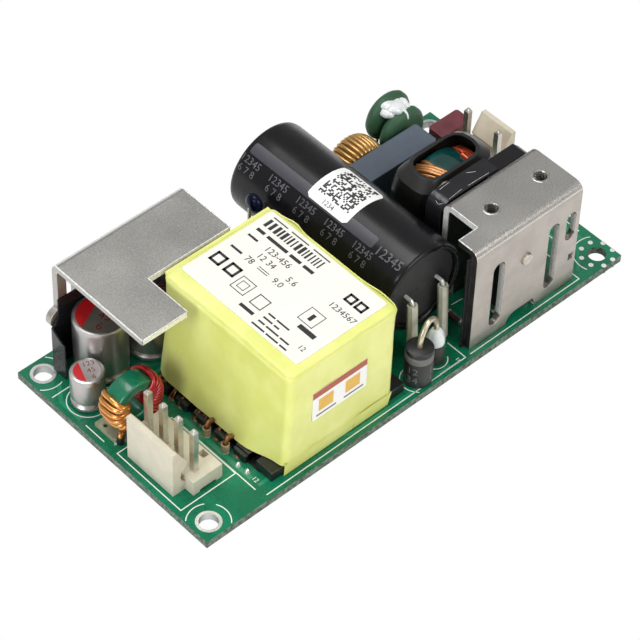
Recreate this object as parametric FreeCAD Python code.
import FreeCAD, Part
import math
import os

# Open frame power supply on a two by four inch board, in millimetres.
# Origin at the centre of the mounting hole pattern on the board underside.
# X runs to the mains input end, Z points up through the parts.

BOARD_LENGTH = 101.6
BOARD_WIDTH = 50.8
BOARD_THICK = 1.6
HOLE_INSET = 3.175
HOLE_R = 1.75
TAIL = 2.0
LEAD_FIT = 0.12

HEADER_PITCH = 3.96
HEADER_PIN = 1.14
HEADER_PIN_TOP = 15.45
HEADER_BASE_TOP = 5.0
HEADER_WALL_TOP = 12.2
OUTPUT_PIN_X = -43.8
OUTPUT_MID_Y = -8.15
INPUT_PIN_X = 46.15
INPUT_MID_Y = 7.45

PRIMARY_TOP = 26.2
PRIMARY_X = (13.1, 39.5)
PRIMARY_Y = (-23.6, -10.4)
PRIMARY_NOTCH = (17.7, -18.85)
WALL_SLOTS = ((19.1, 4.1, 20.0, 2.9), (32.9, 4.15, 20.4, 2.6), (37.3, 13.6, 20.4, 2.4))
SECONDARY_TOP = 26.0
SECONDARY_X = (-43.3, -14.5)
SECONDARY_Y = (9.9, 23.8)
TONGUE = (-33.2, -0.4)
SHEET = 1.4
BEND_R = 1.9
THREAD_R = 1.25
FILM = 0.3

CAN_R = 5.0
CAN_TOP = 15.0
CAN_SIDES = 16
CANS = ((-38.5, 17.0), (-28.3, 15.5))
SMALL_CAN = (-45.6, 12.1)
SMALL_CAN_R = 3.15
SMALL_CAN_TOP = 9.6

BULK_R = 9.0
BULK_SLEEVE = 0.15
BULK_SIDES = 24
BULK_GAP = 0.65
BULK_AXIS = (PRIMARY_NOTCH[0] - BULK_GAP - BULK_SLEEVE - BULK_R, 15.5)
BULK_BACK = 25.2
BULK_FRONT = -16.1
BULK_PITCH = 7.5
BULK_STICKER_Y = (-0.9, 9.2)
BULK_STICKER_SIDES = 4

TAPE_X = (-30.6, -5.6)
TAPE_Y = (-23.4, 9.1)
TAPE_Z = (3.9, 26.0)
TAPE_WALL = 0.5
TAPE_CORNER = 0.8
TAPE_BELLY = 3.1
CORE_HEIGHT = 20.6
CORE_WIDTH = 22.0
POST_R = 6.5
RAIL_TOP = 3.7
RAIL_REACH = 3.25
RAIL_SHORT = 1.5
FLYING_X = -35.2
FLYING_Y = (-12.4, -7.5)
PRIMARY_PIN_X = -4.2
PRIMARY_PIN_Y = (-19.2, -14.2, -9.2, -4.2, 0.8)

CHOKE_MID = (-43.3, 3.05, 8.45)
CHOKE_CORE = (2.8, 5.0, 4.1)
CHOKE_WIRE_R = 0.38
CHOKE_PITCH = 18.5
CHOKE_TURNS = 5
RING_MID = (25.3, 19.75, 7.8)
RING_CORE = (2.7, 5.2, 4.6)
FILTER_MID = (29.5, 1.2, 11.6)
FILTER_CORE = (4.0, 7.4, 6.0)
FILTER_WIRE = 0.9

XCAP_X = (19.4, 37.4)
XCAP_Y = (10.5, 16.4)
XCAP_TOP = 13.6
XCAP_PITCH = 15.0
SUPPRESSOR_X = (42.5, 50.2)
SUPPRESSOR_Y = (13.95, 18.0)
SUPPRESSOR_TOP = 8.2
SUPPRESSOR_PITCH = 5.0
DISCS = ((36.9, 19.4, 9.8), (36.6, 23.0, 11.4))
DISC_R = 5.25
DISC_THICK = 3.4
DISC_PITCH = 5.0
BLUE_DISC_R = 2.4
BLUE_DISC_THICK = 2.4
BLUE_DISC_GAP = 0.95
BLUE_DISC_PITCH = 2.5
BLUE_DISC = (BULK_AXIS[0] - BULK_R - BULK_SLEEVE - BLUE_DISC_GAP - BLUE_DISC_THICK / 2, 16.0, 19.8)

BRIDGE_X = (28.9, 39.9)
BRIDGE_THICK = 3.4
BRIDGE_Z = (12.6, 24.9)
PACK_WIDTH = 10.1
PACK_THICK = 4.4
PACK_HEIGHT = 15.6
PACK_PITCH = 2.54

DIODE = (1.4, -22.4)
DIODE_R = 2.6
DIODE_TOP = 10.2
BEAD = (6.9, -20.9)
BEAD_R = 1.75
BEAD_TOP = 5.8

CONTROLLERS = ((15.5, 3.0), (-10.0, 16.0))
CONTROLLER_SIZE = (4.9, 3.9)
CONTROLLER_PITCH = 1.27
CONTROLLER_WAYS_COUNT = 4


def vec(x, y, z):
    return FreeCAD.Vector(x, y, z)


def box(xs, ys, zs):
    size = (xs[1] - xs[0], ys[1] - ys[0], zs[1] - zs[0])
    return Part.makeBox(size[0], size[1], size[2], vec(xs[0], ys[0], zs[0]))


def loop(points):
    return Part.makePolygon(list(points) + [points[0]])


def slab(outline, z0, z1):
    face = Part.Face(loop([vec(x, y, z0) for x, y in outline]))
    return face.extrude(vec(0, 0, z1 - z0))


def slab_y(outline, y0, y1):
    face = Part.Face(loop([vec(x, y0, z) for x, z in outline]))
    return face.extrude(vec(0, y1 - y0, 0))


def slab_x(outline, x0, x1):
    face = Part.Face(loop([vec(x0, y, z) for y, z in outline]))
    return face.extrude(vec(x1 - x0, 0, 0))


def even_sided(count, across, x, y, z0, z1):
    # Prism whose flats are the given distance from its middle.
    r = across / math.cos(math.pi / count)
    turn = [math.pi * (2 * k + 1) / count for k in range(count)]
    return slab([(x + r * math.cos(a), y + r * math.sin(a)) for a in turn], z0, z1)


def closed(faces):
    shell = Part.Shell(faces)
    shell.sewShape()
    solid = Part.Solid(shell)
    if solid.Volume < 0:
        solid.reverse()
    return solid


def flat_ring(outer, inner):
    edge = [loop(outer)]
    if inner:
        edge.append(loop(inner))
    return Part.makeFace(edge, "Part::FaceMakerBullseye")


def turned(profile, base, axis, sides=None):
    # Full turn of a radius and height outline, made of flat sides to stay light.
    widest = max(r for r, _ in profile)
    count = sides or max(8, 2 * round(4.0 * math.sqrt(widest)))
    turn = [2 * math.pi * k / count for k in range(count)]

    def ring(r, h):
        return [vec(r * math.cos(a), r * math.sin(a), h) for a in turn]

    faces = []
    for (ra, ha), (rb, hb) in zip(profile, profile[1:] + profile[:1]):
        if ra == 0 and rb == 0:
            continue
        if ha == hb:
            low = min(ra, rb)
            faces.append(flat_ring(ring(max(ra, rb), ha), ring(low, ha) if low else None))
            continue
        a, b = ring(ra, ha), ring(rb, hb)
        for k in range(count):
            n = (k + 1) % count
            corners = [a[k]] + ([a[n]] if ra else []) + ([b[n]] if rb else []) + [b[k]]
            faces.append(Part.Face(loop(corners)))
    solid = closed(faces)
    solid.Placement = FreeCAD.Placement(vec(*base), FreeCAD.Rotation(vec(0, 0, 1), axis))
    return solid


def joined(shapes):
    first = shapes[0]
    whole = first.fuse(shapes[1:]) if len(shapes) > 1 else first
    return whole.removeSplitter()


def cut(shape, tools):
    return shape.cut(tools) if tools else shape


def group(shapes):
    return Part.makeCompound(shapes)


def both_ways(direction):
    side = direction.cross(vec(0.31, 0.2, 1))
    if side.Length < 0.2:
        side = direction.cross(vec(1, 0, 0))
    side.normalize()
    return side, direction.cross(side)


def wire(path, r, sides=6):
    # Bent wire with a flat sided section and mitred bends.
    pts = [vec(*p) for p in path]
    runs = [(b - a).normalize() for a, b in zip(pts, pts[1:])]
    side, up = both_ways(runs[0])
    angles = [2 * math.pi * (k + 0.5) / sides for k in range(sides)]
    rings = [[pts[0] + side * (r * math.cos(a)) + up * (r * math.sin(a)) for a in angles]]
    for i, run in enumerate(runs):
        last = i == len(runs) - 1
        plane = run if last else (run + runs[i + 1]).normalize()
        ring = []
        for q in rings[-1]:
            reach = (pts[i + 1] - q).dot(plane) / run.dot(plane)
            ring.append(q + run * reach)
        rings.append(ring)
    faces = [Part.Face(loop(rings[0])), Part.Face(loop(rings[-1]))]
    for a, b in zip(rings, rings[1:]):
        for k in range(sides):
            n = (k + 1) % sides
            faces.append(Part.Face(loop([a[k], a[n], b[n], b[k]])))
    return closed(faces)


def ring_core(mid, size):
    # Toroid lying on its rim, its axis along Y, with eased edges.
    inner, outer, thick = size
    ease = 0.12 * thick
    half = thick / 2
    profile = [(inner, -half), (outer - ease, -half), (outer, ease - half),
               (outer, half - ease), (outer - ease, half), (inner, half)]
    return turned(profile, mid, vec(0, 1, 0))


def turn_path(mid, size, wire_r, start, pitch, turns):
    # Wire path round the core section, stepping on by one pitch each turn.
    inner, outer, thick = size
    gap = wire_r + 0.1
    far = outer + gap
    near = inner - gap
    half = thick / 2 + gap
    ease = 0.55
    corners = [(far, -half + ease), (far, half - ease), (far - ease, half), (near + ease / 2, half),
               (near, half - ease), (near, -half + ease), (near + ease / 2, -half), (far - ease, -half)]
    share = (0.0, 0.1, 0.16, 0.46, 0.52, 0.62, 0.68, 0.94)
    path = []
    for k in range(turns):
        for (r, side), part in zip(corners, share):
            a = math.radians(start + pitch * (k + part))
            path.append((mid[0] + r * math.cos(a), mid[1] + side, mid[2] + r * math.sin(a)))
    return path


def wound_jacket(mid, size, wire, start, end, count):
    # Close wound sector round a toroid, one ridge for each turn.
    inner, outer, thick = size
    half = thick / 2 + wire
    crest = outer + wire
    steps = 2 * count
    rim = []
    for k in range(steps + 1):
        a = math.radians(start + (end - start) * k / steps)
        r = crest if k % 2 else crest - 0.3 * wire
        rim.append((mid[0] + r * math.cos(a), mid[2] + r * math.sin(a)))
    bore = []
    for k in range(9):
        a = math.radians(end + (start - end) * k / 8)
        bore.append((mid[0] + (inner - wire) * math.cos(a), mid[2] + (inner - wire) * math.sin(a)))
    solid = slab_y(rim + bore, mid[1] - half, mid[1] + half)
    room = turned([(inner, -thick / 2), (outer, -thick / 2), (outer, thick / 2), (inner, thick / 2)],
                  mid, vec(0, 1, 0))
    return solid.cut(room)


def lead_places():
    # Every round lead through the board with its hole size.
    places = []
    for can in radial_capacitors():
        places += [(x, y, 0.3) for x, y in can[4]]
    places += [(p[0], p[1], 0.4) for p in bulk_feet()]
    places += [(FLYING_X, y, 0.5) for y in FLYING_Y]
    places += [(PRIMARY_PIN_X, y, 0.4) for y in PRIMARY_PIN_Y]
    places += [(x, y, CHOKE_WIRE_R) for x, y in choke_feet()]
    places += [(x, RING_MID[1], 0.35) for x in ring_feet()]
    places += [(x, y, 0.4) for x, y in filter_feet()]
    places += [(x, y, 0.3) for x, y in box_feet(XCAP_X, XCAP_Y, XCAP_PITCH)]
    places += [(x, y, 0.3) for x, y in box_feet(SUPPRESSOR_X, SUPPRESSOR_Y, SUPPRESSOR_PITCH)]
    for x, y, _ in DISCS:
        places += [(x - DISC_PITCH / 2, y, 0.3), (x + DISC_PITCH / 2, y, 0.3)]
    places += [(BLUE_DISC[0], BLUE_DISC[1] + s * BLUE_DISC_PITCH / 2, 0.3) for s in (-1, 1)]
    places += [(DIODE[0], DIODE[1], 0.5), (BEAD[0], BEAD[1], 0.5)]
    return places


def flat_lead_places():
    places = [(x, bridge_lead_y()) for x in bridge_lead_x()]
    for name in PACKS:
        x, y = pack_lead_line(name)
        places += [(x + k * PACK_PITCH, y) for k in (-1, 0, 1)]
    return places


def board_holes():
    below = -0.5
    above = BOARD_THICK + 0.5
    tools = []
    for x, y in corner_holes():
        tools.append(Part.makeCylinder(HOLE_R, above - below, vec(x, y, below)))
    for x, y, r in lead_places():
        tools.append(even_sided(4, r + LEAD_FIT, x, y, below, above))
    for x, y in flat_lead_places():
        tools.append(even_sided(4, 0.4 + LEAD_FIT, x, y, below, above))
    half = HEADER_PIN / 2 + LEAD_FIT
    for x, y in header_pin_places():
        tools.append(even_sided(4, half, x, y, below, above))
    for x, y, long_x in tab_places():
        hx = long_x / 2 + LEAD_FIT
        hy = SHEET / 2 + LEAD_FIT
        tools.append(box((x - hx, x + hx), (y - hy, y + hy), (below, above)))
    return tools


def corner_holes():
    hx = BOARD_LENGTH / 2 - HOLE_INSET
    hy = BOARD_WIDTH / 2 - HOLE_INSET
    return [(-hx, -hy), (hx, -hy), (hx, hy), (-hx, hy)]


def circuit_board():
    hx = BOARD_LENGTH / 2
    hy = BOARD_WIDTH / 2
    return cut(box((-hx, hx), (-hy, hy), (0, BOARD_THICK)), board_holes())


def header_pin_places():
    out = [(OUTPUT_PIN_X, OUTPUT_MID_Y + HEADER_PITCH * k) for k in (-1.5, -0.5, 0.5, 1.5)]
    inp = [(INPUT_PIN_X, INPUT_MID_Y + HEADER_PITCH * k) for k in (-1, 1)]
    return out + inp


def header_housing(pin_x, mid_y, ways, facing):
    # Pins stand in a low base and one side carries the locking wall.
    span = HEADER_PITCH * (ways - 1)
    long_y = span / 2 + 2.2
    wall_y = span / 2 + 0.06
    floor = BOARD_THICK

    def at(u):
        return pin_x + facing * u

    base_x = sorted((at(-2.1), at(4.45)))
    base = box(base_x, (mid_y - long_y, mid_y + long_y), (floor, HEADER_BASE_TOP))
    foot_x = sorted((at(-0.6), at(3.1)))
    base = base.cut(box(foot_x, (mid_y - long_y - 1, mid_y + long_y + 1), (floor - 1, floor + 0.5)))
    outline = [(-4.85, floor), (-2.1, floor), (-2.1, 3.6), (-3.0, 4.4), (-3.15, 5.4), (-2.9, 6.4),
               (-2.05, 7.2), (-1.55, 8.3), (-3.85, HEADER_WALL_TOP), (-4.85, HEADER_WALL_TOP)]
    wall = slab_y([(at(u), z) for u, z in outline], mid_y - wall_y, mid_y + wall_y)
    return base, wall


def header_sockets(pin_x, ys):
    half = HEADER_PIN / 2
    return [box((pin_x - half, pin_x + half), (y - half, y + half), (0, HEADER_BASE_TOP + 1)) for y in ys]


def output_header_housing():
    base, wall = header_housing(OUTPUT_PIN_X, OUTPUT_MID_Y, 4, 1)
    ys = [y for x, y in header_pin_places() if x < 0]
    recess_y = ys[0] + 1.65
    recess = box((OUTPUT_PIN_X + 2.8, OUTPUT_PIN_X + 4.15), (recess_y - 0.8, recess_y + 0.8),
                 (HEADER_BASE_TOP - 1.6, HEADER_BASE_TOP + 1))
    return joined([base, wall]).cut(header_sockets(OUTPUT_PIN_X, ys) + [recess])


def input_header_housing():
    base, wall = header_housing(INPUT_PIN_X, INPUT_MID_Y, 3, -1)
    ys = [y for x, y in header_pin_places() if x > 0]
    return joined([base, wall]).cut(header_sockets(INPUT_PIN_X, ys))


def header_pin(x, y):
    # Square pin drawn to a blunt point.
    half = HEADER_PIN / 2
    levels = ((-TAIL, half), (HEADER_PIN_TOP - 0.6, half), (HEADER_PIN_TOP, half - 0.35))
    ring = ((-1, -1), (1, -1), (1, 1), (-1, 1))
    return skin([(z, [(x + a * w, y + b * w) for a, b in ring]) for z, w in levels])


def output_header_pins():
    return group([header_pin(x, y) for x, y in header_pin_places() if x < 0])


def input_header_pins():
    return group([header_pin(x, y) for x, y in header_pin_places() if x > 0])


def tab_places():
    mid = SHEET / 2
    return [(16.5, PRIMARY_Y[0] + mid, 3.0), (36.4, PRIMARY_Y[0] + mid, 2.4),
            (22.0, PRIMARY_Y[1] - mid, 3.0), (-38.6, SECONDARY_Y[1] - mid, 3.0),
            (-16.8, SECONDARY_Y[1] - mid, 3.0)]


def tabs(wanted, top):
    return [box((x - w / 2, x + w / 2), (y - SHEET / 2, y + SHEET / 2), (-1.2, top))
            for x, y, w in tab_places() if wanted(x, y)]


def arc_points(mid, r, start, end, steps):
    turn = [math.radians(start + (end - start) * k / steps) for k in range(steps + 1)]
    return [(mid[0] + r * math.cos(a), mid[1] + r * math.sin(a)) for a in turn]


def folded_u(xs, ys, top, front_foot, back_foot):
    # Sheet folded down along both long sides.
    inner = BEND_R - SHEET
    y0, y1 = ys
    front = (y0 + BEND_R, top - BEND_R)
    back = (y1 - BEND_R, top - BEND_R)
    outline = [(y0, front_foot)] + arc_points(front, BEND_R, 180, 90, 5)
    outline += arc_points(back, BEND_R, 90, 0, 5) + [(y1, back_foot), (y1 - SHEET, back_foot)]
    outline += arc_points(back, inner, 0, 90, 3) + arc_points(front, inner, 90, 180, 3)
    outline += [(y0 + SHEET, front_foot)]
    return slab_x(outline, xs[0], xs[1])


def folded_l(xs, ys, top, foot):
    # Sheet folded down along its far side only.
    inner = BEND_R - SHEET
    y0, y1 = ys
    back = (y1 - BEND_R, top - BEND_R)
    outline = [(y0, top - SHEET), (y0, top)] + arc_points(back, BEND_R, 90, 0, 5)
    outline += [(y1, foot), (y1 - SHEET, foot)] + arc_points(back, inner, 0, 90, 3)
    return slab_x(outline, xs[0], xs[1])


def wall_slot(x, z0, z1, width, y0, y1):
    r = width / 2
    outline = arc_points((x, z1 - r), r, 0, 180, 6) + arc_points((x, z0 + r), r, 180, 360, 6)
    return slab_y(outline, y0, y1)


def thread_places():
    mid_y = (PRIMARY_Y[0] + PRIMARY_Y[1]) / 2
    return [(22.9, mid_y), (35.15, mid_y)]


def thread_collar(x, y):
    top = PRIMARY_TOP
    low = top - SHEET - 1.3
    return even_sided(10, THREAD_R + 0.8, x, y, low, top - SHEET / 2)


def primary_heatsink():
    xs, ys, top = PRIMARY_X, PRIMARY_Y, PRIMARY_TOP
    body = folded_u(xs, ys, top, BOARD_THICK + 0.05, BOARD_THICK + 2.6)
    notch_x, notch_y = PRIMARY_NOTCH
    tools = [box((xs[0] - 1, notch_x), (notch_y, ys[1] + 1), (0, top + 1))]
    front = (ys[0] - 1, ys[0] + SHEET + 0.4)
    tools += [wall_slot(*slot, *front) for slot in WALL_SLOTS]
    tools.append(box((37.6, 39.0), front, (7.8, 9.4)))
    arch = [(22.3, 1.0)] + arc_points((24.6, 1.65), 2.3, 180, 100, 4)
    arch += [(29.0, 3.9), (29.6, 2.2), (29.6, 1.0)]
    tools.append(slab_y(arch, front[0], front[1]))
    tools.append(box((24.6, 39.6), (ys[1] - SHEET - 0.4, ys[1] + 1), (0, 9.0)))
    tools += [Part.makeCylinder(THREAD_R, 6, vec(x, y, top - 5)) for x, y in thread_places()]
    body = joined([body] + [thread_collar(x, y) for x, y in thread_places()])
    body = joined([body.cut(tools)] + tabs(lambda x, y: x > 0 and y < -20, 2.4)
                  + tabs(lambda x, y: x > 0 and y > -20, 5.0))
    return body.cut([screw_shank(*SCREWS[0]), screw_shank(*SCREWS[1])])


def secondary_heatsink():
    xs, ys, top = SECONDARY_X, SECONDARY_Y, SECONDARY_TOP
    body = folded_l(xs, ys, top, BOARD_THICK + 1.4)
    tongue_x, tongue_y = TONGUE
    tongue = box((xs[0], tongue_x), (tongue_y, ys[0] + 0.01), (top - SHEET, top))
    wall = (ys[1] - SHEET - 0.4, ys[1] + 1)
    ear = [(xs[0] + 0.5, 10.7), (xs[0], 10.7)] + arc_points((xs[0] + 0.3, 12.9), 2.2, 235, 125, 6)
    ear = slab_y(ear + [(xs[0], 15.1), (xs[0] + 0.5, 15.1)], ys[1] - SHEET, ys[1])
    slot = wall_slot(-40.3, 12.5, 22.0, 1.9, wall[0], wall[1])
    gaps = [box((-36.6, -19.0), wall, (0, BOARD_THICK + 2.9))]
    body = joined([body, tongue, ear])
    body = joined([body.cut([slot] + gaps)] + tabs(lambda x, y: x < 0, 3.4))
    return body.cut([screw_shank(*SCREWS[2])])


# Screws: middle x and z, wall outer face y, direction out of the wall.
SCREWS = ((26.0, 16.5, PRIMARY_Y[0], -1), (23.6, 20.6, PRIMARY_Y[1] - SHEET, -1),
          (-18.2, 19.4, SECONDARY_Y[1], 1))


def screw_shank(x, z, y, out):
    return turned([(0, -5.6), (1.25, -5.6), (1.25, 2.0), (0, 2.0)], (x, y, z), vec(0, out, 0), 8)


def pack_screw(x, z, y, out):
    # Pan head on the package side, shank ending just past the wall.
    face = -(PACK_THICK + SHEET)
    profile = [(0, face - 1.7), (2.1, face - 1.7), (2.6, face - 1.1), (2.6, face), (1.25, face),
               (1.25, 0.5), (0, 0.5)]
    return turned(profile, (x, y, z), vec(0, out, 0), 8)


# Packages: middle x, face against the wall, direction from wall to package, top height.
PACKS = {
    "front": (26.0, PRIMARY_Y[0] + SHEET, 1, 21.6),
    "back": (23.6, PRIMARY_Y[1], 1, 24.2),
    "output": (-18.2, SECONDARY_Y[1] - SHEET, -1, 23.2),
}


def pack_lead_line(name):
    x, wall_y, out, _ = PACKS[name]
    return x, wall_y + out * 2.6


def pack_body(name):
    # Fully moulded package with its screw hole and recessed top corners.
    x, wall_y, out, top = PACKS[name]
    half = PACK_WIDTH / 2
    far = wall_y + out * PACK_THICK
    ys = sorted((wall_y, far))
    body = box((x - half, x + half), ys, (top - PACK_HEIGHT, top))
    screw = next(s for s in SCREWS if abs(s[0] - x) < 0.1)
    hole = turned([(0, -10), (1.4, -10), (1.4, 10), (0, 10)], (x, wall_y, screw[1]), vec(0, 1, 0), 8)
    step = sorted((wall_y + out * 3.0, far + out))
    relief = box((x - half - 1, x + half + 1), step, (screw[1] + 3.2, top + 1))
    return body.cut([hole, relief])


def switch_transistors():
    return group([pack_body("front"), pack_body("back")])


def output_rectifier():
    return pack_body("output")


def pack_leads(name):
    x, y = pack_lead_line(name)
    top = PACKS[name][3] - PACK_HEIGHT
    return [box((x + k * PACK_PITCH - 0.4, x + k * PACK_PITCH + 0.4), (y - 0.3, y + 0.3), (-TAIL, top))
            for k in (-1, 0, 1)]


def package_leads():
    legs = []
    for name in PACKS:
        legs += pack_leads(name)
    y = bridge_lead_y()
    for x in bridge_lead_x():
        legs.append(box((x - 0.4, x + 0.4), (y - 0.3, y + 0.3), (-TAIL, BRIDGE_Z[0])))
    return group(legs)


def heatsink_screws():
    return group([pack_screw(*s) for s in SCREWS])


def bridge_lead_x():
    mid = (BRIDGE_X[0] + BRIDGE_X[1]) / 2
    return [mid + k * 2.6 for k in (-1.5, -0.5, 0.5, 1.5)]


def bridge_lead_y():
    return PRIMARY_Y[1] + BRIDGE_THICK / 2


def bridge_rectifier():
    x0, x1 = BRIDGE_X
    z0, z1 = BRIDGE_Z
    outline = [(x0, z0), (x1, z0), (x1, z1 - 1.6), (x1 - 1.6, z1), (x0, z1)]
    return slab_y(outline, PRIMARY_Y[1], PRIMARY_Y[1] + BRIDGE_THICK)


def band_y(centre, thick, y0, y1):
    # Thin sheet following a centre line seen along Y.
    left = []
    right = []
    n = len(centre)
    for i in range(n):
        a = centre[max(i - 1, 0)]
        b = centre[min(i + 1, n - 1)]
        dx, dz = b[0] - a[0], b[1] - a[1]
        size = math.hypot(dx, dz)
        nx, nz = -dz / size * thick / 2, dx / size * thick / 2
        left.append((centre[i][0] + nx, centre[i][1] + nz))
        right.append((centre[i][0] - nx, centre[i][1] - nz))
    return slab_y(left + right[::-1], y0, y1)


def draped_film():
    # Insulating film laid over the packages and curling down past them.
    z = BRIDGE_Z[1] + FILM / 2
    x = PRIMARY_NOTCH[0] - FILM
    line = [(31.6, z), (x + 4.1, z), (x + 1.8, z - 0.1), (x + 0.55, z - 0.9), (x, z - 2.6), (x, z - 7),
            (x + 0.05, 8.0)]
    return band_y(line, FILM, PRIMARY_Y[1] + 0.3, PRIMARY_Y[1] + PACK_THICK - 0.4)


def primary_film():
    # Insulating sheet standing at the open side of the front wall.
    x0 = PRIMARY_X[0] - 0.9
    y0 = PRIMARY_Y[0] + SHEET
    return box((x0, PRIMARY_NOTCH[0] - 0.5), (y0, y0 + FILM), (BOARD_THICK, 24.2))


def secondary_film():
    # Sheet against the wall with a flap turned out at its free end.
    y = SECONDARY_Y[1] - SHEET
    x0, x1 = -43.4, -24.6
    flap_x = -45.5
    plan = [(x1, y), (x0, y), (flap_x, y - 0.5), (flap_x, 18.4), (flap_x + FILM, 18.4),
            (flap_x + FILM, y - 0.7), (x0 + 0.1, y - FILM), (x1, y - FILM)]
    sheet = slab(plan, BOARD_THICK, 17.8)
    trim = [(10.0, 10.2), (y - 3.5, 10.2), (y - 2.6, 10.6), (y - 0.4, 12.4), (y + 0.1, 14.5),
            (y + 0.1, 19.0), (10.0, 19.0)]
    return sheet.cut(slab_x(trim, flap_x - 1, x0 - 0.2))


def can_shell(x, y, r, z1):
    # Pressed can, open underneath, with one rolled groove near the rim.
    z0 = BOARD_THICK
    mouth = r - 0.9
    profile = [(0, z0 + 1.6), (mouth, z0 + 1.6), (mouth, z0), (r, z0), (r, z0 + 1.1), (r - 0.45, z0 + 1.6),
               (r, z0 + 2.1), (r, z1 - 0.35), (r - 0.35, z1), (0, z1)]
    return turned(profile, (x, y, 0), vec(0, 0, 1), CAN_SIDES)


def radial_capacitors():
    # Middle, radius, top and the two lead places of each upright can.
    cans = [(x, y, CAN_R, CAN_TOP, [(x - 2.5, y), (x + 2.5, y)]) for x, y in CANS]
    x, y = SMALL_CAN
    cans.append((x, y, SMALL_CAN_R, SMALL_CAN_TOP, [(x, y - 1.25), (x, y + 1.25)]))
    return cans


def radial_capacitor_cans():
    return group([can_shell(x, y, r, top) for x, y, r, top, _ in radial_capacitors()])


def can_bung(x, y, r):
    z0 = BOARD_THICK
    mouth = r - 0.9
    profile = [(0, z0), (mouth, z0), (mouth, z0 + 1.6), (0, z0 + 1.6)]
    return turned(profile, (x, y, 0), vec(0, 0, 1), CAN_SIDES)


def radial_capacitor_bungs():
    return group([can_bung(x, y, r) for x, y, r, _, _ in radial_capacitors()])


def straight_lead(x, y, r, top):
    return even_sided(6, r, x, y, -TAIL, top)


def radial_capacitor_leads():
    feet = [place for can in radial_capacitors() for place in can[4]]
    return group([straight_lead(x, y, 0.3, BOARD_THICK) for x, y in feet])


def bulk_base():
    return (BULK_AXIS[0], 0, BULK_AXIS[1])


def bulk_capacitor_can():
    r, back, front = BULK_R, BULK_BACK, BULK_FRONT
    profile = [(0, front + 3.6), (r - 0.9, front + 3.6), (r - 0.9, front + 0.5), (r, front + 0.5),
               (r, back - 0.8), (r - 0.8, back), (0, back)]
    return turned(profile, bulk_base(), vec(0, 1, 0), BULK_SIDES)


def bulk_capacitor_sleeve():
    # Shrunk sleeve curled over both ends of the can.
    r, t = BULK_R, BULK_SLEEVE
    back, front = BULK_BACK, BULK_FRONT
    profile = [(r - 2.4, back), (r - 0.8, back), (r, back - 0.8), (r, front + 0.5), (r - 1.3, front + 0.5),
               (r - 1.3, front), (r + t, front), (r + t, back - 0.8), (r - 0.7, back + t),
               (r - 2.4, back + t)]
    return turned(profile, bulk_base(), vec(0, 1, 0), BULK_SIDES)


def bulk_lead_x():
    return [BULK_AXIS[0] - BULK_PITCH / 2, BULK_AXIS[0] + BULK_PITCH / 2]


def bulk_capacitor_bung():
    face = BULK_FRONT + 0.6
    root = BULK_FRONT + 3.6
    r = BULK_R - 1.3
    z = BULK_AXIS[1]
    plug = turned([(0, face), (r, face), (r, root), (0, root)], bulk_base(), vec(0, 1, 0), BULK_SIDES)
    return plug.cut([wire([(x, face - 1, z), (x, face + 2, z)], 0.4) for x in bulk_lead_x()])


def bulk_feet():
    return [(x - 0.35, BULK_FRONT - 2.3) for x in bulk_lead_x()]


def bulk_lead_path(k):
    x = bulk_lead_x()[k]
    fx, fy = bulk_feet()[k]
    z = BULK_AXIS[1]
    y = BULK_FRONT
    return [(x, y + 2.6, z), (x, y - 0.8, z), (x, y - 1.15, z - 0.4), (fx, fy, BOARD_THICK + 0.8),
            (fx, fy, -TAIL)]


def bulk_capacitor_leads():
    return group([wire(bulk_lead_path(k), 0.4) for k in (0, 1)])


def bulk_lead_sleeves():
    sleeves = []
    for k in (0, 1):
        path = bulk_lead_path(k)
        top = path[2]
        low = path[3]
        line = [tuple(low[i] + (top[i] - low[i]) * s for i in range(3)) for s in (0.02, 0.97)]
        sleeves.append(wire(line, 1.0, 8).cut(wire([low, top], 0.6)))
    return group(sleeves)


def bulk_capacitor_sticker():
    # Printed sticker on the topmost flats of the sleeve.
    r0 = BULK_R + BULK_SLEEVE
    half = 180 * BULK_STICKER_SIDES / BULK_SIDES
    outer = arc_points(BULK_AXIS, r0 + 0.1, 90 - half, 90 + half, BULK_STICKER_SIDES)
    inner = arc_points(BULK_AXIS, r0, 90 + half, 90 - half, BULK_STICKER_SIDES)
    return slab_y(outer + inner, *BULK_STICKER_Y)


def transformer_mid():
    return ((TAPE_X[0] + TAPE_X[1]) / 2, (TAPE_Y[0] + TAPE_Y[1]) / 2)


def core_span():
    z1 = TAPE_Z[1] - TAPE_WALL
    return z1 - CORE_HEIGHT, z1


def tape_belly(z):
    # How far the wound side stands out at a height, most near the feet.
    z0, z1 = TAPE_Z
    return TAPE_BELLY * ((z1 - z) / (z1 - z0)) ** 1.7


def tape_outline(z, inset):
    x0, y0 = TAPE_X[0] + inset, TAPE_Y[0] + inset
    x1, y1 = TAPE_X[1] - inset, TAPE_Y[1] - inset
    c = TAPE_CORNER
    out = tape_belly(z)
    return [(x0 + c / 2 - out * 0.35, y0), (x1 - c, y0), (x1, y0 + c), (x1, y1 - c), (x1 - c, y1),
            (x0 + c - out * 0.6, y1), (x0 - out * 0.8, y1 - c), (x0 - out, y1 - 4.0),
            (x0 - out, y0 + 9.0), (x0 - out * 0.35, y0 + c / 2)]


def transformer_tape():
    # Wrapped tape, open underneath, bulging over the feet on one side, with a flap down to the board.
    z0, z1 = TAPE_Z
    w = TAPE_WALL
    heights = (z0, z0 + 4.5, z0 + 11.0, z1)
    inner = [(z - w if z == z1 else z, tape_outline(z, w)) for z in heights]
    shell = skin(inner[::-1] + [(z, tape_outline(z, 0)) for z in heights])
    left = TAPE_X[0] + TAPE_CORNER / 2 - TAPE_BELLY * 0.35
    flap = box((left, TAPE_X[1] - TAPE_CORNER), (TAPE_Y[0], TAPE_Y[0] + w), (BOARD_THICK + 0.15, z0 + 0.5))
    return joined([shell, flap])


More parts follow.
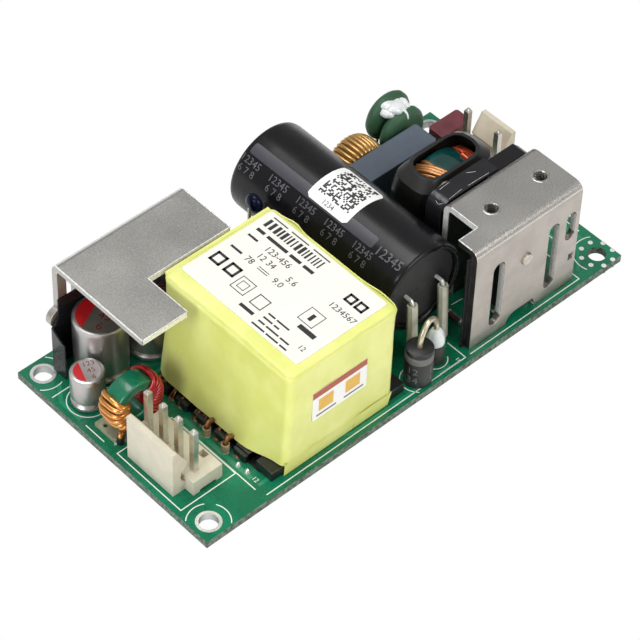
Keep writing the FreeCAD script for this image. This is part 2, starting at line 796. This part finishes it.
def core_half(low, high, top_side):
    mx, my = transformer_mid()
    plate = 4.6
    hx = CORE_WIDTH / 2
    hy = (TAPE_Y[1] - TAPE_Y[0]) / 2 - TAPE_WALL - 0.05
    middle = (low + high) / 2
    z_plate = (high - plate, high) if top_side else (low, low + plate)
    z_leg = (middle, high) if top_side else (low, middle)
    parts = [box((mx - hx, mx + hx), (my - hy, my + hy), z_plate)]
    for s in (-1, 1):
        ys = sorted((my + s * hy, my + s * (hy - 3.4)))
        parts.append(box((mx - hx, mx + hx), ys, z_leg))
    post = even_sided(12, POST_R, mx, my, *z_leg)
    return joined(parts + [post])


def transformer_core():
    low, high = core_span()
    return group([core_half(low, high, False), core_half(low, high, True)])


def rail_blocks(side):
    # Row of feet along one long side with gaps for the wires, the wound side stepping in behind two.
    x0, x1 = TAPE_X
    edge, inn = (x0, x0 + 0.3) if side < 0 else (x1, x1 - 0.3)
    feet = []
    for k in range(6):
        y = -22.0 + 5.15 * k
        reach = RAIL_SHORT if side < 0 and k > 1 else RAIL_REACH
        start = TAPE_Y[0] + TAPE_WALL + 0.05 if k == 0 else y
        feet.append(box(sorted((edge + side * reach, inn)), (start, y + 3.3), (BOARD_THICK, RAIL_TOP)))
    bar = sorted((inn, inn + side * 1.4))
    feet.append(box(bar, (-22.0, 7.05), (BOARD_THICK + 0.8, RAIL_TOP)))
    return feet


def transformer_bobbin():
    mx, my = transformer_mid()
    low, high = core_span()
    inner_low = low + 4.6
    inner_high = high - 4.6
    parts = []
    for s in (-1, 1):
        parts += rail_blocks(s)
        web = sorted((mx + s * 11.1, mx + s * 11.95))
        parts.append(box(web, (-15.0, 0.7), (RAIL_TOP - 1.2, inner_low + 0.9)))
    flange = box((mx - 11.95, mx + 11.95), (my - 11.6, my + 11.6), (inner_low, inner_low + 0.9))
    top = box((mx - 11.6, mx + 11.6), (my - 11.6, my + 11.6), (inner_high - 0.9, inner_high))
    tube = even_sided(12, POST_R + 0.9, mx, my, inner_low, inner_high)
    whole = joined(parts + [flange, top, tube])
    return whole.cut([even_sided(12, POST_R + 0.1, mx, my, 0, 30)])


def transformer_pins():
    return group([straight_lead(PRIMARY_PIN_X, y, 0.4, BOARD_THICK) for y in PRIMARY_PIN_Y])


def transformer_winding():
    mx, my = transformer_mid()
    low, high = core_span()
    z0 = low + 5.55
    z1 = high - 5.55
    r = POST_R + 0.95
    return even_sided(12, 11.2, mx, my, z0, z1).cut(even_sided(12, r, mx, my, z0 - 1, z1 + 1))


def flying_path(y):
    # Out of the lower edge of the tape, then down past the feet to the board.
    z = RAIL_TOP + 0.9
    start = (TAPE_X[0] - TAPE_BELLY, y, z)
    return [start, (FLYING_X + 0.5, y, z), (FLYING_X, y, z - 0.6), (FLYING_X, y, -TAIL)]


def transformer_flying_leads():
    return group([wire(flying_path(y), 0.5) for y in FLYING_Y])


def flying_lead_sleeves():
    sleeves = []
    for y in FLYING_Y:
        tube = even_sided(8, 0.75, FLYING_X, y, BOARD_THICK + 0.1, RAIL_TOP - 0.1)
        sleeves.append(tube.cut(even_sided(8, 0.54, FLYING_X, y, 0, RAIL_TOP + 1)))
    return group(sleeves)


def transformer_label():
    (x0, x1), (y0, y1), z = TAPE_X, TAPE_Y, TAPE_Z[1]
    return box((x0 + 3.1, x1 - 0.9), (y0 + 1.9, y1 - 1.1), (z, z + 0.1))


def transformer_sticker():
    x, y = TAPE_X[0], TAPE_Y[0]
    return box((x + 5.3, x + 17.9), (y - 0.1, y), (11.2, 18.3))


def choke_feet():
    x, y, _ = CHOKE_MID
    return [(x - 4.2, y - 2.0), (x - 4.2, y + 2.0), (x + 4.2, y - 2.0), (x + 4.2, y + 2.0)]


def output_choke_copper():
    path = turn_path(CHOKE_MID, CHOKE_CORE, CHOKE_WIRE_R, 140, CHOKE_PITCH, CHOKE_TURNS)
    return choke_wire(path, choke_feet()[0])


def output_choke_red():
    path = turn_path(CHOKE_MID, CHOKE_CORE, CHOKE_WIRE_R, -52, CHOKE_PITCH, CHOKE_TURNS)
    return choke_wire(path, choke_feet()[2])


def choke_wire(path, foot):
    # The turns end beside the core, then drop straight to the board.
    x, y = foot
    face = CHOKE_MID[1] - CHOKE_CORE[2] / 2 - CHOKE_WIRE_R - 0.06
    turns = path[:-1]
    drop_z = BOARD_THICK + 1.9
    tail = [(x, face, drop_z + 1.2), (x, y, drop_z), (x, y, -TAIL)]
    line = turns + tail if turns[-1][2] < turns[0][2] else tail[::-1] + turns
    return wire(line, CHOKE_WIRE_R, 5)


def output_choke_core():
    return ring_core(CHOKE_MID, CHOKE_CORE)


def output_choke_base():
    x, y, _ = CHOKE_MID
    half = 5.2
    front, back = y - 2.7, y + 3.8
    plan = [(x - half, y - 1.2), (x - 3.9, front), (x + half, front), (x + half, back), (x - half, back)]
    plate = slab(plan, BOARD_THICK, BOARD_THICK + 1.0)
    return plate.cut([even_sided(6, CHOKE_WIRE_R + 0.05, fx, fy, 0, 6) for fx, fy in choke_feet()])


def ring_feet():
    return [RING_MID[0] - 3.4, RING_MID[0] + 3.4]


def ring_choke_core():
    return ring_core(RING_MID, RING_CORE)


def ring_choke_winding():
    return wound_jacket(RING_MID, RING_CORE, 0.8, -65, 245, 24)


def filter_feet():
    x, y, _ = FILTER_MID
    return [(x - 5.0, y - 2.4), (x - 5.0, y + 2.4), (x + 5.0, y - 2.4), (x + 5.0, y + 2.4)]


def filter_choke_core():
    return ring_core(FILTER_MID, FILTER_CORE)


def filter_choke_copper():
    return wound_jacket(FILTER_MID, FILTER_CORE, FILTER_WIRE, 112, 248, 9)


def filter_choke_red():
    return wound_jacket(FILTER_MID, FILTER_CORE, FILTER_WIRE, -68, 68, 9)


def choke_leads():
    # Wire ends of both upright chokes, from the lower turns to the board.
    ring = [straight_lead(x, RING_MID[1], 0.35, 3.7).cut(ring_choke_winding()) for x in ring_feet()]
    coils = [filter_choke_copper(), filter_choke_red()]
    return group(ring + [straight_lead(x, y, 0.4, 5.5).cut(coils) for x, y in filter_feet()])


def rounded_plan(mid, hx, hy, r, steps=3):
    x, y = mid
    plan = []
    for sx, sy, a in ((1, 1, 0), (-1, 1, 90), (-1, -1, 180), (1, -1, 270)):
        plan += arc_points((x + sx * (hx - r), y + sy * (hy - r)), r, a, a + 90, steps)
    return plan


def skin(levels, ends=True):
    # Closed solid through stacked outlines that share one point count.
    faces = []
    pairs = list(zip(levels, levels[1:]))
    for (za, a), (zb, b) in pairs:
        n = len(a)
        for k in range(n):
            m = (k + 1) % n
            p, q = vec(a[k][0], a[k][1], za), vec(a[m][0], a[m][1], za)
            s, t = vec(b[m][0], b[m][1], zb), vec(b[k][0], b[k][1], zb)
            flat = abs((q - p).cross(t - p).dot(s - p)) < 1e-7
            rims = [[p, q, s, t]] if flat else [[p, q, s], [p, s, t]]
            faces += [Part.Face(loop(rim)) for rim in rims]
    if ends:
        for z, outline in (levels[0], levels[-1]):
            faces.append(Part.Face(loop([vec(x, y, z) for x, y in outline])))
    return closed(faces)


def filter_choke_sleeve():
    # Shrunk tube round the choke with an oval mouth left open on top.
    x, y, z = FILTER_MID
    wall = 0.7
    reach = FILTER_CORE[1] + FILTER_WIRE + 1.0
    deep = FILTER_CORE[2] / 2 + FILTER_WIRE + 0.6
    floor = BOARD_THICK
    heights = ((floor, -2.2, -1.0), (z - 7.2, 0, 0), (z + 4.8, 0, 0), (z + 8.0, -0.9, -0.4),
               (z + 9.7, -2.9, -1.4))
    outer = []
    inner = []
    for h, gx, gy in heights:
        hx, hy = reach + wall + gx, deep + wall + gy
        outer.append((h, rounded_plan((x, y), hx, hy, min(hy, 3.2))))
        inner.append((h, rounded_plan((x, y), hx - wall, hy - wall, min(hy, 3.2) - wall)))
    return skin(outer + inner[::-1] + [outer[0]], False)


def box_feet(xs, ys, pitch):
    mx = (xs[0] + xs[1]) / 2
    my = (ys[0] + ys[1]) / 2
    return [(mx - pitch / 2, my), (mx + pitch / 2, my)]


def box_capacitor(xs, ys, top):
    # Moulded case standing on small corner feet.
    z0 = BOARD_THICK
    c = 0.4
    case = slab([(xs[0] + c, ys[0]), (xs[1] - c, ys[0]), (xs[1], ys[0] + c), (xs[1], ys[1] - c),
                 (xs[1] - c, ys[1]), (xs[0] + c, ys[1]), (xs[0], ys[1] - c), (xs[0], ys[0] + c)], z0, top)
    return case.cut(box((xs[0] + 1, xs[1] - 1), (ys[0] - 1, ys[1] + 1), (z0 - 1, z0 + 0.4)))


def line_capacitor():
    return box_capacitor(XCAP_X, XCAP_Y, XCAP_TOP)


def suppression_capacitor():
    return box_capacitor(SUPPRESSOR_X, SUPPRESSOR_Y, SUPPRESSOR_TOP)


def film_capacitor_leads():
    feet = box_feet(XCAP_X, XCAP_Y, XCAP_PITCH) + box_feet(SUPPRESSOR_X, SUPPRESSOR_Y, SUPPRESSOR_PITCH)
    return group([straight_lead(x, y, 0.3, BOARD_THICK + 0.4) for x, y in feet])


def lens(r, thick, mid, axis):
    # Dipped disc with a rounded rim.
    h = thick / 2
    profile = [(0, -h), (r - 0.8 * h, -h), (r, -0.35 * h), (r, 0.35 * h), (r - 0.8 * h, h), (0, h)]
    return turned(profile, mid, axis)


def inrush_discs():
    return group([lens(DISC_R, DISC_THICK, d, vec(0, 1, 0)) for d in DISCS])


def disc_lead(x, y, z, r, pitch, along_x):
    # Two straight legs ending inside the rim of the disc.
    legs = []
    for s in (-1, 1):
        lx = x + s * pitch / 2 if along_x else x
        ly = y if along_x else y + s * pitch / 2
        rim = z - math.sqrt(max(r * r - pitch * pitch / 4, 0))
        legs.append(straight_lead(lx, ly, 0.3, rim + 0.5))
    return legs


def disc_silicone():
    # Dab of silicone bridging the two discs.
    (xa, ya, za), (xb, yb, zb) = DISCS
    mid = ((xa + xb) / 2 + 0.3, (ya + yb) / 2, max(za, zb) + DISC_R - 1.2)
    dab = turned([(0, -1.6), (2.0, -1.6), (2.9, -0.2), (2.0, 1.4), (0, 1.9)], mid, vec(0, 0, 1), 10)
    return dab.cut(inrush_discs())


def blue_disc_capacitor():
    return lens(BLUE_DISC_R, BLUE_DISC_THICK, BLUE_DISC, vec(1, 0, 0))


def disc_leads():
    legs = []
    for x, y, z in DISCS:
        legs += [leg.cut(inrush_discs()) for leg in disc_lead(x, y, z, DISC_R, DISC_PITCH, True)]
    x, y, z = BLUE_DISC
    blue = disc_lead(x, y, z, BLUE_DISC_R, BLUE_DISC_PITCH, False)
    legs += [leg.cut(blue_disc_capacitor()) for leg in blue]
    return group(legs)


def power_diode():
    x, y = DIODE
    profile = [(0, BOARD_THICK), (DIODE_R - 0.3, BOARD_THICK), (DIODE_R, BOARD_THICK + 0.3),
               (DIODE_R, DIODE_TOP - 0.2), (DIODE_R - 0.2, DIODE_TOP), (0, DIODE_TOP)]
    return turned(profile, (x, y, 0), vec(0, 0, 1), 14).cut(power_diode_lead())


def power_diode_lead():
    x, y = DIODE
    bx, by = BEAD
    peak = 14.2
    mx, my = (x + bx) / 2, (y + by) / 2
    rise = (x + 0.28 * (bx - x), y + 0.28 * (by - y), peak - 1.0)
    fall = (x + 0.76 * (bx - x), y + 0.76 * (by - y), peak - 1.2)
    path = [(x, y, -TAIL), (x, y, DIODE_TOP + 0.4), rise, (mx, my, peak), fall, (bx, by, peak - 3.6),
            (bx, by, -TAIL)]
    return wire(path, 0.5)


def ferrite_bead():
    x, y = BEAD
    return turned([(0.56, BOARD_THICK), (BEAD_R, BOARD_THICK), (BEAD_R, BEAD_TOP), (0.56, BEAD_TOP)],
                  (x, y, 0), vec(0, 0, 1))


def bead_silicone():
    x, y = BEAD
    z = BEAD_TOP
    dab = turned([(0, z), (1.5, z), (1.8, z + 1.2), (1.3, z + 2.8), (0.7, z + 3.8), (0, z + 3.9)],
                 (x, y, 0), vec(0, 0, 1), 10)
    return dab.cut(power_diode_lead())


def cylinder_diode():
    # Glass body between two slightly larger end caps, lying on the board.
    cap, body, end = 0.7, 0.62, 1.9
    profile = [(0, -end), (cap, -end), (cap, 0.5 - end), (body, 0.5 - end), (body, end - 0.5),
               (cap, end - 0.5), (cap, end), (0, end)]
    return turned(profile, (PRIMARY_NOTCH[0] - 1.4, -16.6, BOARD_THICK + 0.7), vec(0, 1, 0))


def chip(x, y, length, width, high, along_x):
    hx, hy = (length / 2, width / 2) if along_x else (width / 2, length / 2)
    return box((x - hx, x + hx), (y - hy, y + hy), (-high, 0))


def chip_parts():
    # Small resistors and capacitors soldered on the underside.
    small = [(-24.0 + 3.4 * k, 12.6, False) for k in range(4)]
    small += [(3.0, -6.0 + 3.2 * k, True) for k in range(3)]
    large = [(24.0, 2.0 + 3.6 * k, True) for k in range(3)]
    large += [(-41.0 + 4.2 * k, -20.0, False) for k in range(2)]
    chips = [chip(x, y, 2.0, 1.25, 0.55, along) for x, y, along in small]
    return group(chips + [chip(x, y, 3.2, 1.6, 1.1, along) for x, y, along in large])


def controller_body(x, y, length, width):
    return box((x - length / 2, x + length / 2), (y - width / 2, y + width / 2), (-1.6, -0.15))


def controller_bodies():
    return group([controller_body(x, y, *CONTROLLER_SIZE) for x, y in CONTROLLERS])


def controller_leads():
    leads = []
    half = CONTROLLER_SIZE[1] / 2
    for x, y in CONTROLLERS:
        for k in range(CONTROLLER_WAYS_COUNT):
            lx = x + (k - (CONTROLLER_WAYS_COUNT - 1) / 2) * CONTROLLER_PITCH
            for s in (-1, 1):
                ys = sorted((y + s * half, y + s * (half + 1.0)))
                leads.append(box((lx - 0.2, lx + 0.2), ys, (-0.8, 0)))
    return group(leads)


NODES = {
    "circuit_board": circuit_board,
    "output_header_housing": output_header_housing,
    "output_header_pins": output_header_pins,
    "input_header_housing": input_header_housing,
    "input_header_pins": input_header_pins,
    "primary_heatsink": primary_heatsink,
    "secondary_heatsink": secondary_heatsink,
    "heatsink_screws": heatsink_screws,
    "switch_transistors": switch_transistors,
    "output_rectifier": output_rectifier,
    "bridge_rectifier": bridge_rectifier,
    "package_leads": package_leads,
    "draped_film": draped_film,
    "primary_film": primary_film,
    "secondary_film": secondary_film,
    "radial_capacitor_cans": radial_capacitor_cans,
    "radial_capacitor_bungs": radial_capacitor_bungs,
    "radial_capacitor_leads": radial_capacitor_leads,
    "bulk_capacitor_can": bulk_capacitor_can,
    "bulk_capacitor_sleeve": bulk_capacitor_sleeve,
    "bulk_capacitor_bung": bulk_capacitor_bung,
    "bulk_capacitor_leads": bulk_capacitor_leads,
    "bulk_lead_sleeves": bulk_lead_sleeves,
    "bulk_capacitor_sticker": bulk_capacitor_sticker,
    "transformer_tape": transformer_tape,
    "transformer_core": transformer_core,
    "transformer_bobbin": transformer_bobbin,
    "transformer_winding": transformer_winding,
    "transformer_pins": transformer_pins,
    "transformer_flying_leads": transformer_flying_leads,
    "flying_lead_sleeves": flying_lead_sleeves,
    "transformer_label": transformer_label,
    "transformer_sticker": transformer_sticker,
    "output_choke_core": output_choke_core,
    "output_choke_copper": output_choke_copper,
    "output_choke_red": output_choke_red,
    "output_choke_base": output_choke_base,
    "ring_choke_core": ring_choke_core,
    "ring_choke_winding": ring_choke_winding,
    "filter_choke_core": filter_choke_core,
    "filter_choke_copper": filter_choke_copper,
    "filter_choke_red": filter_choke_red,
    "filter_choke_sleeve": filter_choke_sleeve,
    "choke_leads": choke_leads,
    "line_capacitor": line_capacitor,
    "suppression_capacitor": suppression_capacitor,
    "film_capacitor_leads": film_capacitor_leads,
    "inrush_discs": inrush_discs,
    "disc_leads": disc_leads,
    "disc_silicone": disc_silicone,
    "blue_disc_capacitor": blue_disc_capacitor,
    "power_diode": power_diode,
    "power_diode_lead": power_diode_lead,
    "ferrite_bead": ferrite_bead,
    "bead_silicone": bead_silicone,
    "cylinder_diode": cylinder_diode,
    "chip_parts": chip_parts,
    "controller_bodies": controller_bodies,
    "controller_leads": controller_leads,
}

os.makedirs("parts", exist_ok=True)
for name, make in NODES.items():
    make().exportStep("parts/" + name + ".step")
